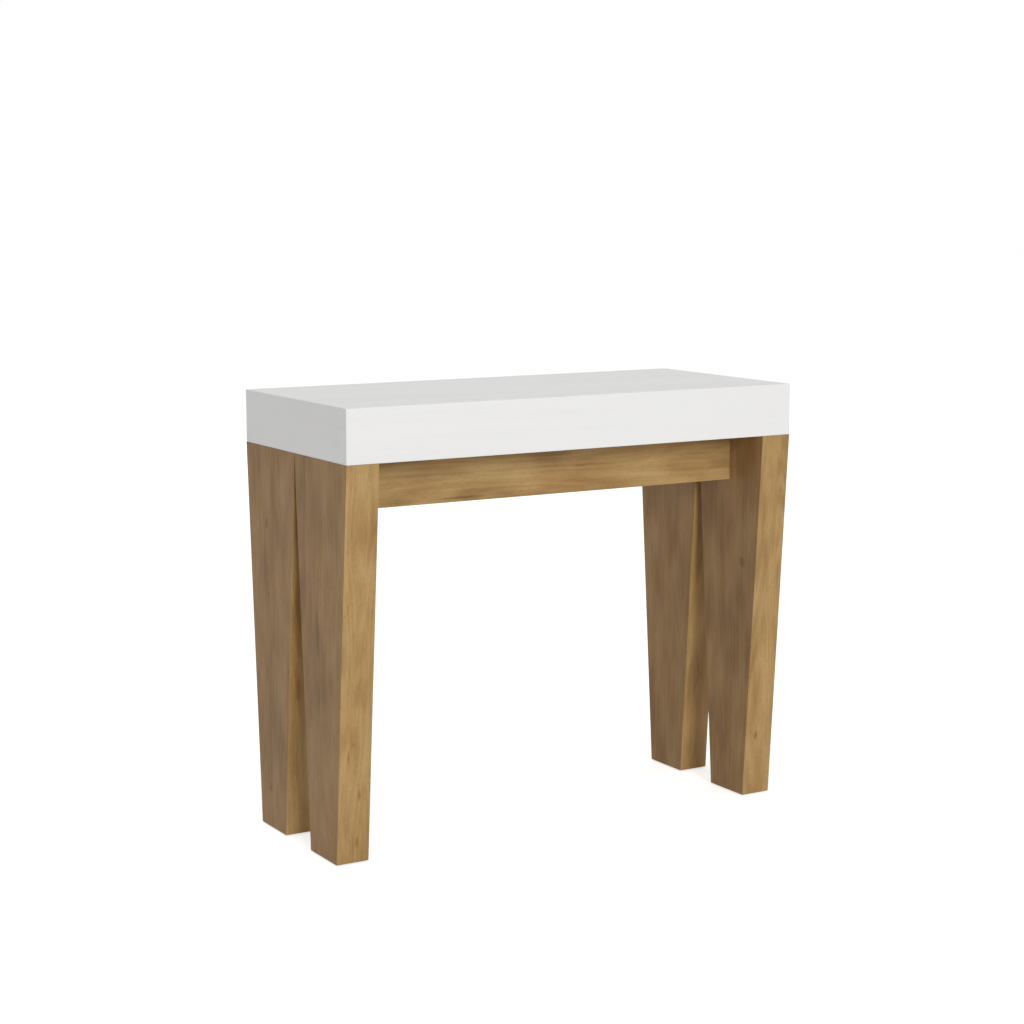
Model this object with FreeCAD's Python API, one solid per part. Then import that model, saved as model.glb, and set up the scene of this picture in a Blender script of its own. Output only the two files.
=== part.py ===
"""Extending console table: two half tables joined by a pair of telescopic aluminium rails.

Each half is a mitred white casing on two tapered oak legs with an apron between them. Pulled apart,
the halves ride on the rails and make room for loose leaves, which are kept elsewhere.
Millimetres, +Z up, origin on the floor under the middle of the closed table. +X runs along the long
side and the front half lies on -Y. Pieces are drawn for the front left corner and mirrored from there.
"""

import FreeCAD
import Part
import math
import os
from FreeCAD import Vector

# Whole table, closed
TABLE_WIDTH = 900.0
TABLE_DEPTH = 400.0
TABLE_HEIGHT = 774.0
SPLIT_GAP = 0.4

# Casing of mitred boards on top of the legs
CASING_HEIGHT = 93.0
BOARD_THICKNESS = 18.0

# Hollow legs, tapered alike on their front and rear faces
LEG_THICKNESS = 60.0
LEG_FOOT_DEPTH = 100.0
LEG_WALL = 16.0
LEG_SOLE = 18.0
LEG_BLOCK_HEIGHT = 70.0

# Plastic glides nailed under each leg
GLIDE_HEIGHT = 2.0
GLIDE_RADIUS = 11.0
GLIDE_CHAMFER = 1.0
GLIDE_SPACING = 50.0

# Apron board between the two legs of a half, its front face on their middle plane
APRON_HEIGHT = 90.0
APRON_THICKNESS = 18.0

# Plates in the casing's corners, and the bolts that pull the legs up against them
PLATE_THICKNESS = 18.0
PLATE_OVERHANG = 20.0
BOLT_RADIUS = 4.0
BOLT_LENGTH = 45.0
BOLT_SPACING = 100.0
HEX_SIDES = 6
BOLT_HEAD_FLATS = 13.0
BOLT_HEAD_HEIGHT = 5.5
BOLT_FLANGE_RADIUS = 8.5
BOLT_FLANGE_HEIGHT = 1.5
BOLT_HOLE_CLEARANCE = 0.5
INSERT_RADIUS = 6.0
INSERT_LENGTH = 25.0
INSERT_BORE_CLEARANCE = 0.1
SEAT_CLEARANCE = 0.05

# Steel angle brackets behind the apron, with pan head screws
BRACKET_LEG = 50.0
BRACKET_HEIGHT = 60.0
BRACKET_THICKNESS = 2.5
BRACKET_BEND_RADIUS = 2.0
BRACKET_SCREW_EDGE = 12.0
BRACKET_SCREW_SPACING = 36.0
PAN_SCREW_RADIUS = 2.0
PAN_SCREW_LENGTH = 11.0
PAN_HEAD_RADIUS = 4.0
PAN_HEAD_HEIGHT = 2.6
PAN_HEAD_CROWN_RADIUS = 2.6
PAN_HOLE_CLEARANCE = 0.25

# Telescopic rails: extrusions side by side, each with a tongue that runs in the next one's channel
RAIL_SLIDES = 6
RAIL_INSET = 150.0
RAIL_WEB = 3.0
RAIL_FLANGE = 3.0
RAIL_LIP = 2.5
CHANNEL_DEPTH = 6.0
TONGUE_LAP = 7.0
SHOE_ROOM = 7.0
RAIL_FACE_GAP = 0.5
SLIDE_CLEARANCE = 0.3
RAIL_TOP_GAP = 1.0
RAIL_APRON_GAP = 14.0
RAIL_END_GAP = 2.0
SHOE_LENGTH = 49.9

# Wooden battens that hold the first and the last member of each rail, and their countersunk screws
BATTEN_WIDTH = 30.0
BATTEN_SPLIT_GAP = 3.0
RAIL_SCREW_RADIUS = 1.75
RAIL_SCREW_HEAD_RADIUS = 3.2
RAIL_SCREW_HEAD_HEIGHT = 1.6
RAIL_SCREW_LENGTH = 22.0
RAIL_SCREW_END_SHARE = 0.2

# Dowels that line up the two tops
DOWEL_RADIUS = 4.0
DOWEL_SEAT = 18.0
DOWEL_REACH = 12.0
DOWEL_CHAMFER = 1.0
DOWEL_INSET = 150.0
DOWEL_COUNT = 3
DOWEL_CLEARANCE = 0.2

# Extra depth of a cutter past the face that it cuts
OVERRUN = 1.0

# Places worked out from the sizes above
CASING_BOTTOM = TABLE_HEIGHT - CASING_HEIGHT
TOP_UNDERSIDE = TABLE_HEIGHT - BOARD_THICKNESS
LEFT_END = -TABLE_WIDTH / 2
FRONT_FACE = -TABLE_DEPTH / 2
FRONT_SPLIT = -SPLIT_GAP / 2
INNER_LEFT = LEFT_END + BOARD_THICKNESS
INNER_FRONT = FRONT_FACE + BOARD_THICKNESS
LEG_INNER_FACE = LEFT_END + LEG_THICKNESS
LEG_CENTRE_X = LEFT_END + LEG_THICKNESS / 2
LEG_CENTRE_Y = (FRONT_FACE + FRONT_SPLIT) / 2
LEG_TOP_DEPTH = FRONT_SPLIT - FRONT_FACE
APRON_FRONT = LEG_CENTRE_Y
APRON_REAR = APRON_FRONT + APRON_THICKNESS
APRON_BOTTOM = CASING_BOTTOM - APRON_HEIGHT
BOLT_SEAT = CASING_BOTTOM + PLATE_THICKNESS
BOLT_TIP = BOLT_SEAT - BOLT_LENGTH
BRACKET_MIDDLE = APRON_BOTTOM + APRON_HEIGHT / 2

RAIL_TOP = TOP_UNDERSIDE - RAIL_TOP_GAP
RAIL_HEIGHT = RAIL_TOP - RAIL_APRON_GAP - CASING_BOTTOM
RAIL_MIDDLE = RAIL_TOP - RAIL_HEIGHT / 2
RAIL_FRONT = INNER_FRONT + RAIL_END_GAP
RAIL_LENGTH = -2 * RAIL_FRONT
RAIL_PITCH = RAIL_WEB + RAIL_FACE_GAP + RAIL_LIP + CHANNEL_DEPTH
RAIL_BACK = LEFT_END + RAIL_INSET
CHANNEL_HEIGHT = RAIL_HEIGHT - 2 * RAIL_FLANGE
TONGUE_HEAD_HEIGHT = CHANNEL_HEIGHT - 2 * SHOE_ROOM
CHANNEL_MOUTH = TONGUE_HEAD_HEIGHT - 2 * TONGUE_LAP
TONGUE_START = RAIL_WEB + RAIL_FACE_GAP + RAIL_LIP + SLIDE_CLEARANCE
TONGUE_END = RAIL_PITCH - SLIDE_CLEARANCE
RAIL_SCREW_RISE = TONGUE_HEAD_HEIGHT / 2 + RAIL_SCREW_HEAD_RADIUS

ORIGIN = Vector(0, 0, 0)
X_AXIS = Vector(1, 0, 0)
Y_AXIS = Vector(0, 1, 0)
Z_AXIS = Vector(0, 0, 1)
SIDES = ("left", "right")
ENDS = ("front", "rear")


# Helpers

def to_corner(shape, side, end):
    """A piece drawn for the front left corner, carried to the named corner."""
    if side == "right":
        shape = shape.mirror(ORIGIN, X_AXIS)
    if end == "rear":
        shape = shape.mirror(ORIGIN, Y_AXIS)
    return shape


def box(low, high):
    """A block between two opposite corners."""
    size = high - low
    return Part.makeBox(size.x, size.y, size.z, low)


def rectangle(low_a, high_a, low_b, high_b):
    """The corners of a rectangle in two coordinates, in order."""
    return [(low_a, low_b), (high_a, low_b), (high_a, high_b), (low_a, high_b)]


def closed_wire(points):
    return Part.makePolygon([*points, points[0]])


def ruled_solid(first, second):
    """A solid with flat sides between two outlines of as many points."""
    return Part.makeLoft([closed_wire(first), closed_wire(second)], True, True)


def swept_solid(points, path):
    return Part.Face(closed_wire(points)).extrude(path)


def save(name, *solids):
    """Writes one node, as one solid or as a group of separate ones."""
    shape = solids[0] if len(solids) == 1 else Part.makeCompound(solids)
    shape.exportStep(os.path.join("parts", name + ".step"))


# Casing: top panel, fascia and end panels, mitred where they meet

def top_panel():
    outer = rectangle(LEFT_END, -LEFT_END, FRONT_FACE, FRONT_SPLIT)
    inner = rectangle(INNER_LEFT, -INNER_LEFT, INNER_FRONT, FRONT_SPLIT)
    shown = [Vector(x, y, TABLE_HEIGHT) for x, y in outer]
    hidden = [Vector(x, y, TOP_UNDERSIDE) for x, y in inner]
    return ruled_solid(shown, hidden)


def fascia():
    outer = rectangle(LEFT_END, -LEFT_END, CASING_BOTTOM, TABLE_HEIGHT)
    inner = rectangle(INNER_LEFT, -INNER_LEFT, CASING_BOTTOM, TOP_UNDERSIDE)
    shown = [Vector(x, FRONT_FACE, z) for x, z in outer]
    hidden = [Vector(x, INNER_FRONT, z) for x, z in inner]
    return ruled_solid(shown, hidden)


def end_panel():
    outer = rectangle(FRONT_FACE, FRONT_SPLIT, CASING_BOTTOM, TABLE_HEIGHT)
    inner = rectangle(INNER_FRONT, FRONT_SPLIT, CASING_BOTTOM, TOP_UNDERSIDE)
    shown = [Vector(LEFT_END, y, z) for y, z in outer]
    hidden = [Vector(INNER_LEFT, y, z) for y, z in inner]
    return ruled_solid(shown, hidden)


# Legs: a folded hollow box that narrows to the foot, with a block in its top

def leg_depth(height):
    """Depth of the leg along Y at a height above the floor."""
    share = (height - GLIDE_HEIGHT) / (CASING_BOTTOM - GLIDE_HEIGHT)
    return LEG_FOOT_DEPTH + (LEG_TOP_DEPTH - LEG_FOOT_DEPTH) * share


def leg_section(height, wall):
    """Outline of the leg at a height, taken in by a wall on all four sides."""
    half_x = LEG_THICKNESS / 2 - wall
    half_y = leg_depth(height) / 2 - wall
    corners = rectangle(-half_x, half_x, -half_y, half_y)
    return [Vector(LEG_CENTRE_X + x, LEG_CENTRE_Y + y, height) for x, y in corners]


def leg_core(low, high):
    """The inside of the leg between two heights."""
    return ruled_solid(leg_section(low, LEG_WALL), leg_section(high, LEG_WALL))


def leg():
    body = ruled_solid(leg_section(GLIDE_HEIGHT, 0), leg_section(CASING_BOTTOM, 0))
    body = body.cut(leg_core(GLIDE_HEIGHT + LEG_SOLE, CASING_BOTTOM))
    for z in bracket_screw_heights():
        middle = Vector(LEG_INNER_FACE, APRON_REAR + BRACKET_LEG - BRACKET_SCREW_EDGE, z)
        body = body.cut(pan_screw_hole(middle, -X_AXIS))
    return body


def leg_top_block():
    block = leg_core(CASING_BOTTOM - LEG_BLOCK_HEIGHT, CASING_BOTTOM)
    for middle in bolt_places(CASING_BOTTOM):
        seat = Part.makeCylinder(INSERT_RADIUS + SEAT_CLEARANCE, INSERT_LENGTH, middle, -Z_AXIS)
        bore_depth = CASING_BOTTOM - BOLT_TIP + OVERRUN
        bore = Part.makeCylinder(BOLT_RADIUS + BOLT_HOLE_CLEARANCE, bore_depth, middle, -Z_AXIS)
        block = block.cut([seat, bore])
    return block


def glides():
    flat = GLIDE_RADIUS - GLIDE_CHAMFER
    offsets = (-GLIDE_SPACING / 2, GLIDE_SPACING / 2)
    return [
        Part.makeCone(flat, GLIDE_RADIUS, GLIDE_HEIGHT, Vector(LEG_CENTRE_X, LEG_CENTRE_Y + offset, 0))
        for offset in offsets
    ]


# Leg plates, bolts and threaded inserts

def bolt_places(height):
    """Bolt axes over one leg, at a height."""
    offsets = (-BOLT_SPACING / 2, BOLT_SPACING / 2)
    return [Vector(LEG_CENTRE_X, LEG_CENTRE_Y + offset, height) for offset in offsets]


def leg_plate():
    low = Vector(INNER_LEFT, INNER_FRONT, CASING_BOTTOM)
    high = Vector(LEG_INNER_FACE + PLATE_OVERHANG, FRONT_SPLIT - BATTEN_SPLIT_GAP, BOLT_SEAT)
    plate = box(low, high)
    for middle in bolt_places(CASING_BOTTOM - OVERRUN):
        hole = Part.makeCylinder(BOLT_RADIUS + BOLT_HOLE_CLEARANCE, PLATE_THICKNESS + 2 * OVERRUN, middle)
        plate = plate.cut(hole)
    return plate


def leg_bolts():
    """Flanged hexagon bolts, dropped through the plate into the leg."""
    corner_radius = BOLT_HEAD_FLATS / 2 / math.cos(math.pi / HEX_SIDES)
    bolts = []
    for middle in bolt_places(BOLT_SEAT):
        turns = [math.tau * corner / HEX_SIDES for corner in range(HEX_SIDES)]
        hexagon = [middle + Vector(math.cos(a), math.sin(a), 0) * corner_radius for a in turns]
        head = swept_solid(hexagon, Z_AXIS * BOLT_HEAD_HEIGHT)
        flange = Part.makeCylinder(BOLT_FLANGE_RADIUS, BOLT_FLANGE_HEIGHT, middle)
        shank = Part.makeCylinder(BOLT_RADIUS, BOLT_LENGTH, middle, -Z_AXIS)
        bolts.append(head.fuse([flange, shank]).removeSplitter())
    return bolts


def leg_inserts():
    inserts = []
    for middle in bolt_places(CASING_BOTTOM - INSERT_LENGTH):
        sleeve = Part.makeCylinder(INSERT_RADIUS, INSERT_LENGTH, middle)
        bore = Part.makeCylinder(BOLT_RADIUS + INSERT_BORE_CLEARANCE, INSERT_LENGTH, middle)
        inserts.append(sleeve.cut(bore))
    return inserts


# Apron, its angle brackets and their screws

def apron():
    low = Vector(LEG_INNER_FACE, APRON_FRONT, APRON_BOTTOM)
    high = Vector(-LEG_INNER_FACE, APRON_REAR, CASING_BOTTOM)
    board = box(low, high)
    for side in SIDES:
        for z in bracket_screw_heights():
            middle = Vector(LEG_INNER_FACE + BRACKET_LEG - BRACKET_SCREW_EDGE, APRON_REAR, z)
            board = board.cut(to_corner(pan_screw_hole(middle, -Y_AXIS), side, "front"))
    return board


def bracket_screw_heights():
    offset = BRACKET_SCREW_SPACING / 2
    return (BRACKET_MIDDLE - offset, BRACKET_MIDDLE + offset)


def bracket_screw_places():
    """Where the bracket's screws enter, on its outer faces, and the way that they point."""
    run = BRACKET_LEG - BRACKET_SCREW_EDGE
    places = []
    for z in bracket_screw_heights():
        places.append((Vector(LEG_INNER_FACE + run, APRON_REAR + BRACKET_THICKNESS, z), -Y_AXIS))
        places.append((Vector(LEG_INNER_FACE + BRACKET_THICKNESS, APRON_REAR + run, z), -X_AXIS))
    return places


def apron_bracket():
    """Strip steel bent to a right angle, with a rounded bend."""
    base = BRACKET_MIDDLE - BRACKET_HEIGHT / 2
    corner = Vector(LEG_INNER_FACE, APRON_REAR, base)
    far = BRACKET_LEG
    wall = BRACKET_THICKNESS
    outline = [(0, 0), (far, 0), (far, wall), (wall, wall), (wall, far), (0, far)]
    angle = swept_solid([corner + Vector(x, y, 0) for x, y in outline], Z_AXIS * BRACKET_HEIGHT)
    inner_edge = upright_edge(angle, corner + Vector(wall, wall, 0))
    angle = angle.makeFillet(BRACKET_BEND_RADIUS, [inner_edge])
    outer_edge = upright_edge(angle, corner)
    angle = angle.makeFillet(BRACKET_BEND_RADIUS + wall, [outer_edge])
    for seat, way in bracket_screw_places():
        start = seat - way * OVERRUN
        hole = Part.makeCylinder(PAN_SCREW_RADIUS + PAN_HOLE_CLEARANCE, wall + 2 * OVERRUN, start, way)
        angle = angle.cut(hole)
    return angle


def upright_edge(solid, foot):
    """The upright edge that stands on a point."""
    return min(solid.Edges, key=lambda edge: sum(plan_distance(v.Point, foot) for v in edge.Vertexes))


def plan_distance(first, second):
    return math.hypot(first.x - second.x, first.y - second.y)


def pan_screw(seat, way):
    """A pan head screw whose head sits on a point."""
    shank = Part.makeCylinder(PAN_SCREW_RADIUS, PAN_SCREW_LENGTH + BRACKET_THICKNESS, seat, way)
    head = Part.makeCone(PAN_HEAD_RADIUS, PAN_HEAD_CROWN_RADIUS, PAN_HEAD_HEIGHT, seat, -way)
    return shank.fuse(head)


def pan_screw_hole(mouth, way):
    """The pilot hole that a pan head screw fills below the bracket."""
    return Part.makeCylinder(PAN_SCREW_RADIUS + SEAT_CLEARANCE, PAN_SCREW_LENGTH + OVERRUN, mouth, way)


def bracket_screws():
    return [pan_screw(seat, way) for seat, way in bracket_screw_places()]


# Telescopic rails, drawn for the left side: member 0 belongs to the front half, the last to the rear

def rail_back(member):
    """X of the back of a member's web."""
    return RAIL_BACK + member * RAIL_PITCH


def rail_outline(member):
    """Section of a rail member: web, channel towards -X and tongue towards +X, as far as it has them."""
    half = RAIL_HEIGHT / 2
    mouth = CHANNEL_MOUTH / 2
    roof = CHANNEL_HEIGHT / 2
    neck = mouth - SLIDE_CLEARANCE
    head = TONGUE_HEAD_HEIGHT / 2
    lip = -CHANNEL_DEPTH
    upper = [(RAIL_WEB, half)]
    if member < RAIL_SLIDES:
        upper = [(TONGUE_END, head), (TONGUE_START, head), (TONGUE_START, neck), (RAIL_WEB, neck), *upper]
    if member > 0:
        upper += [(lip - RAIL_LIP, half), (lip - RAIL_LIP, mouth), (lip, mouth), (lip, roof), (0, roof)]
    else:
        upper += [(0, half)]
    lower = [(x, -z) for x, z in reversed(upper)]
    return [Vector(rail_back(member) + x, RAIL_FRONT, RAIL_MIDDLE + z) for x, z in upper + lower]


def rail_member(member):
    rail = swept_solid(rail_outline(member), Y_AXIS * RAIL_LENGTH)
    for seat, way in rail_screw_places(member):
        rail = rail.cut(rail_screw(seat, way, SEAT_CLEARANCE))
    return rail


def rail_shoes(member):
    """Nylon strips that carry a member: on its tongue's rear end, and in its channel's front end.

    A strip of each kind meets end to end when a slide is 260 mm out, and stops it."""
    shoes = []
    head = TONGUE_HEAD_HEIGHT / 2
    roof = CHANNEL_HEIGHT / 2
    back = rail_back(member)
    for upright in (1, -1):
        if member < RAIL_SLIDES:
            low = Vector(back + TONGUE_START, -RAIL_FRONT - SHOE_LENGTH, head)
            high = Vector(back + TONGUE_END, -RAIL_FRONT, roof - SLIDE_CLEARANCE)
            shoes.append(strip(low, high, upright))
        if member > 0:
            low = Vector(back - CHANNEL_DEPTH, RAIL_FRONT, head + SLIDE_CLEARANCE)
            high = Vector(back, RAIL_FRONT + SHOE_LENGTH, roof)
            shoes.append(strip(low, high, upright))
    return shoes


def strip(low, high, upright):
    """A block given from the rail's middle height, above it or mirrored below it."""
    block = box(low, high)
    if upright < 0:
        block = block.mirror(ORIGIN, Z_AXIS)
    return block.translated(Z_AXIS * RAIL_MIDDLE)


# Battens that carry the outer members, and the screws through the members' webs

def batten_range(end):
    """Y of a half's fascia side and split side, between which its battens run."""
    near = INNER_FRONT
    far = FRONT_SPLIT - BATTEN_SPLIT_GAP
    return (near, far) if end == "front" else (-far, -near)


def batten_face(end):
    """X of the batten face that the left rail is screwed to."""
    return rail_back(0) if end == "front" else rail_back(RAIL_SLIDES) + RAIL_WEB


def batten(end):
    """The left batten of a half, under its top and on its apron."""
    face = batten_face(end)
    outer = face - BATTEN_WIDTH if end == "front" else face + BATTEN_WIDTH
    low_y, high_y = batten_range(end)
    low = Vector(min(face, outer), low_y, CASING_BOTTOM)
    high = Vector(max(face, outer), high_y, TOP_UNDERSIDE)
    block = box(low, high)
    for seat, way in rail_screw_places(0 if end == "front" else RAIL_SLIDES):
        block = block.cut(rail_screw(seat, way, SEAT_CLEARANCE))
    return block


def rail_screw_places(member):
    """Where countersunk screws pass a fixed member's web, and the way that they point."""
    if member not in (0, RAIL_SLIDES):
        return []
    end = "front" if member == 0 else "rear"
    seat_x = rail_back(0) + RAIL_WEB if end == "front" else rail_back(RAIL_SLIDES)
    way = -X_AXIS if end == "front" else X_AXIS
    low_y, high_y = batten_range(end)
    inset = (high_y - low_y) * RAIL_SCREW_END_SHARE
    heights = (RAIL_MIDDLE - RAIL_SCREW_RISE, RAIL_MIDDLE + RAIL_SCREW_RISE)
    return [(Vector(seat_x, y, z), way) for y in (low_y + inset, high_y - inset) for z in heights]


def rail_screw(seat, way, allowance):
    """A countersunk screw whose flat head ends at a point, or with an allowance the hole for it."""
    head_radius = RAIL_SCREW_HEAD_RADIUS + allowance
    shank_radius = RAIL_SCREW_RADIUS + allowance
    head = Part.makeCone(head_radius, shank_radius, RAIL_SCREW_HEAD_HEIGHT, seat, way)
    shank = Part.makeCylinder(shank_radius, RAIL_SCREW_LENGTH + allowance, seat, way)
    return head.fuse(shank).removeSplitter()


def rail_screws(end):
    member = 0 if end == "front" else RAIL_SLIDES
    return [rail_screw(seat, way, 0) for seat, way in rail_screw_places(member)]


# Dowels between the two tops

def dowel_places():
    """Dowel axes on the split plane, half way up the top panels."""
    first = LEFT_END + DOWEL_INSET
    spacing = -2 * first / (DOWEL_COUNT - 1)
    height = TABLE_HEIGHT - BOARD_THICKNESS / 2
    return [Vector(first + n * spacing, FRONT_SPLIT, height) for n in range(DOWEL_COUNT)]


def dowel(middle):
    start = middle - Y_AXIS * DOWEL_SEAT
    length = DOWEL_SEAT + SPLIT_GAP + DOWEL_REACH
    pin = Part.makeCylinder(DOWEL_RADIUS, length, start, Y_AXIS)
    return pin.makeChamfer(DOWEL_CHAMFER, [e for e in pin.Edges if len(e.Vertexes) == 1])


def drilled_top(end):
    """A top panel with the blind holes that its dowels sit in or slide into."""
    panel = to_corner(top_panel(), "left", end)
    for middle in dowel_places():
        panel = panel.cut(dowel_seat(middle) if end == "front" else dowel_socket(middle))
    return panel


def dowel_seat(middle):
    return Part.makeCylinder(DOWEL_RADIUS + SEAT_CLEARANCE, DOWEL_SEAT + SEAT_CLEARANCE, middle, -Y_AXIS)


def dowel_socket(middle):
    mouth = middle + Y_AXIS * SPLIT_GAP
    return Part.makeCylinder(DOWEL_RADIUS + DOWEL_CLEARANCE, DOWEL_REACH + SPLIT_GAP, mouth, Y_AXIS)


# Assembly

def pair(piece, end):
    """Both of a half's copies of a solid or list of solids drawn for the left side."""
    solids = piece if isinstance(piece, list) else [piece]
    return [to_corner(solid, side, end) for side in SIDES for solid in solids]


def save_half(end):
    save(end + "_top_panel", drilled_top(end))
    save(end + "_fascia", to_corner(fascia(), "left", end))
    save(end + "_apron", to_corner(apron(), "left", end))
    for side in SIDES:
        save(f"{end}_{side}_end_panel", to_corner(end_panel(), side, end))
        save(f"{end}_{side}_leg", to_corner(leg(), side, end))
    save(end + "_leg_top_blocks", *pair(leg_top_block(), end))
    save(end + "_leg_glides", *pair(glides(), end))
    save(end + "_leg_plates", *pair(leg_plate(), end))
    save(end + "_leg_bolts", *pair(leg_bolts(), end))
    save(end + "_leg_inserts", *pair(leg_inserts(), end))
    save(end + "_apron_brackets", *pair(apron_bracket(), end))
    save(end + "_bracket_screws", *pair(bracket_screws(), end))
    save(end + "_rail_battens", *pair(batten(end), "front"))
    save(end + "_rail_screws", *pair(rail_screws(end), "front"))


def save_rails():
    for side in SIDES:
        for member in range(RAIL_SLIDES + 1):
            fixed = {0: "front", RAIL_SLIDES: "rear"}.get(member)
            name = f"{fixed}_{side}_rail" if fixed else f"{side}_rail_stage_{member}"
            save(name, to_corner(rail_member(member), side, "front"))
            if not fixed:
                shoes = [to_corner(shoe, side, "front") for shoe in rail_shoes(member)]
                save(f"{side}_shoes_stage_{member}", *shoes)
    save("front_rail_shoes", *pair(rail_shoes(0), "front"))
    save("rear_rail_shoes", *pair(rail_shoes(RAIL_SLIDES), "front"))


os.makedirs("parts", exist_ok=True)
for half in ENDS:
    save_half(half)
save_rails()
save("alignment_dowels", *[dowel(middle) for middle in dowel_places()])
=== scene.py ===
import math
import bmesh
import bpy
from mathutils import Matrix, Vector


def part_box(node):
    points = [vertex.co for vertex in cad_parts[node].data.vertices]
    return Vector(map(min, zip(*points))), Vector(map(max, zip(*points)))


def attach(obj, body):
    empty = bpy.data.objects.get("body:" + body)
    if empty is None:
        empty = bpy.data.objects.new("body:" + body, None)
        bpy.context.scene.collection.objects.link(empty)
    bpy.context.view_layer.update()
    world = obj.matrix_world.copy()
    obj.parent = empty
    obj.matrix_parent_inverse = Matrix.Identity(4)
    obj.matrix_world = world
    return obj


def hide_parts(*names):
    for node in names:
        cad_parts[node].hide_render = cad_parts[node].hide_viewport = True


# The frame holds the CAD nodes in metres: X runs along the table, the front looks to -Y, and Z goes up.
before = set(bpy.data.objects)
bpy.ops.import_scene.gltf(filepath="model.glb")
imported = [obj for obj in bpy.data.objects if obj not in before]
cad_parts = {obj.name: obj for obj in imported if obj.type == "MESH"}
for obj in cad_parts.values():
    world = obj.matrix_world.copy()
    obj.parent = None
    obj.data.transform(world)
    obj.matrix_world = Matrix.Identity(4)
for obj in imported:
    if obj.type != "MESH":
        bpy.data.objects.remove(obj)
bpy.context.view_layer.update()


# Legs. Each half stands on two hollow legs, folded from board with an oak face and glued at the mitres.
# The front and the rear face lean in alike, so a leg gets narrower in depth from the casing to the floor.
# The arrises are eased with paper, and the open top takes a block.
HALVES = ("front", "rear")
SIDES = ("left", "right")
LEG_WALL = 0.016
LEG_SOLE = 0.018
LEG_ARRIS = 0.0008
ARRIS_SEGMENTS = 3
SAME_PLACE = 0.00001
SMOOTH_UP_TO = math.radians(50)
GRAIN_UP = (0, 0, 0)
GRAIN_ACROSS = (0, math.pi / 2, 0)
GRAIN_INWARD = (math.pi / 2, 0, 0)
MIX_FIRST = 6
MIX_SECOND = 7
MIX_RESULT = 2


class Socket:
    """An output in a material's node tree. Sums on it add Math nodes."""

    def __init__(self, tree, output=None):
        self.tree = tree
        self.output = output

    def node(self, kind, settings, sockets, output=0):
        """Adds a node, makes its settings, feeds its sockets and returns one of its outputs."""
        made = self.tree.nodes.new(kind)
        for name, value in settings.items():
            if name == "stops":
                stops = made.color_ramp.elements
                while len(stops) < len(value):
                    stops.new(1)
                for stop, (place, colour) in zip(stops, value):
                    stop.position = place
                    stop.color = colour
            else:
                setattr(made, name, value)
        for name, value in sockets.items():
            if isinstance(value, Socket):
                self.tree.links.new(value.output, made.inputs[name])
            else:
                made.inputs[name].default_value = value
        return Socket(self.tree, made.outputs[output] if made.outputs else None)

    def maths(self, operation, first, second):
        return self.node("ShaderNodeMath", {"operation": operation}, {0: first, 1: second})

    def __add__(self, other):
        return self.maths("ADD", self, other)

    def __radd__(self, other):
        return self.maths("ADD", other, self)

    def __sub__(self, other):
        return self.maths("SUBTRACT", self, other)

    def __rsub__(self, other):
        return self.maths("SUBTRACT", other, self)

    def __mul__(self, other):
        return self.maths("MULTIPLY", self, other)

    def __rmul__(self, other):
        return self.maths("MULTIPLY", other, self)


def new_finish(name):
    """An empty material and a way into its node tree."""
    material = bpy.data.materials.new(name)
    material.use_nodes = True
    material.node_tree.nodes.clear()
    return material, Socket(material.node_tree)


def on_piece(start, turn):
    """Places on the piece in metres, turned so that the grain runs along the third axis."""
    place = start.node("ShaderNodeTexCoord", {}, {}, "Object")
    return start.node("ShaderNodeMapping", {}, {"Vector": place, "Rotation": turn})


def marks(place, width, length, detail=2.0, shift=0.0):
    """Soft random marks of a width and a length along the grain. The shift tells one kind from the next."""
    drawn = place.node("ShaderNodeMapping", {}, {
        "Vector": place, "Location": (shift, shift, shift), "Scale": (1 / width, 1 / width, 1 / length)})
    return place.node("ShaderNodeTexNoise", {}, {"Vector": drawn, "Scale": 1, "Detail": detail})


def between(value, low, high):
    """Goes smoothly from 0 to 1 while the value goes from low to high."""
    return value.node("ShaderNodeMapRange", {"interpolation_type": "SMOOTHSTEP"},
                      {"Value": value, "From Min": low, "From Max": high})


def mixed(share, first, second, blend="MIX"):
    """The first colour, going over to the second by a share."""
    return share.node("ShaderNodeMix", {"data_type": "RGBA", "blend_type": blend},
                      {0: share, MIX_FIRST: first, MIX_SECOND: second}, MIX_RESULT)


def tinted(share, colour, tint):
    """A colour, stained with a tint by a share."""
    return mixed(share, colour, tint, "MULTIPLY")


def marked_faces(start, mark):
    """What the faces of a piece hold under the name of a mark, from 0 to 1."""
    return start.node("ShaderNodeAttribute", {"attribute_name": mark}, {}, "Fac")


def relief(height, depth):
    """A relief of the given depth in metres."""
    return height.node("ShaderNodeBump", {}, {"Strength": 1.0, "Distance": depth, "Height": height})


def surface(start, colour, roughness, metallic=0.0, shine=0.5, **others):
    """Closes a finish with its colour and gloss, and with a relief as Normal where it has one."""
    shader = start.node("ShaderNodeBsdfPrincipled", {}, {
        "Base Color": colour, "Roughness": roughness, "Metallic": metallic, "Specular IOR Level": shine,
        **others})
    start.node("ShaderNodeOutputMaterial", {}, {"Surface": shader})


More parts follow.
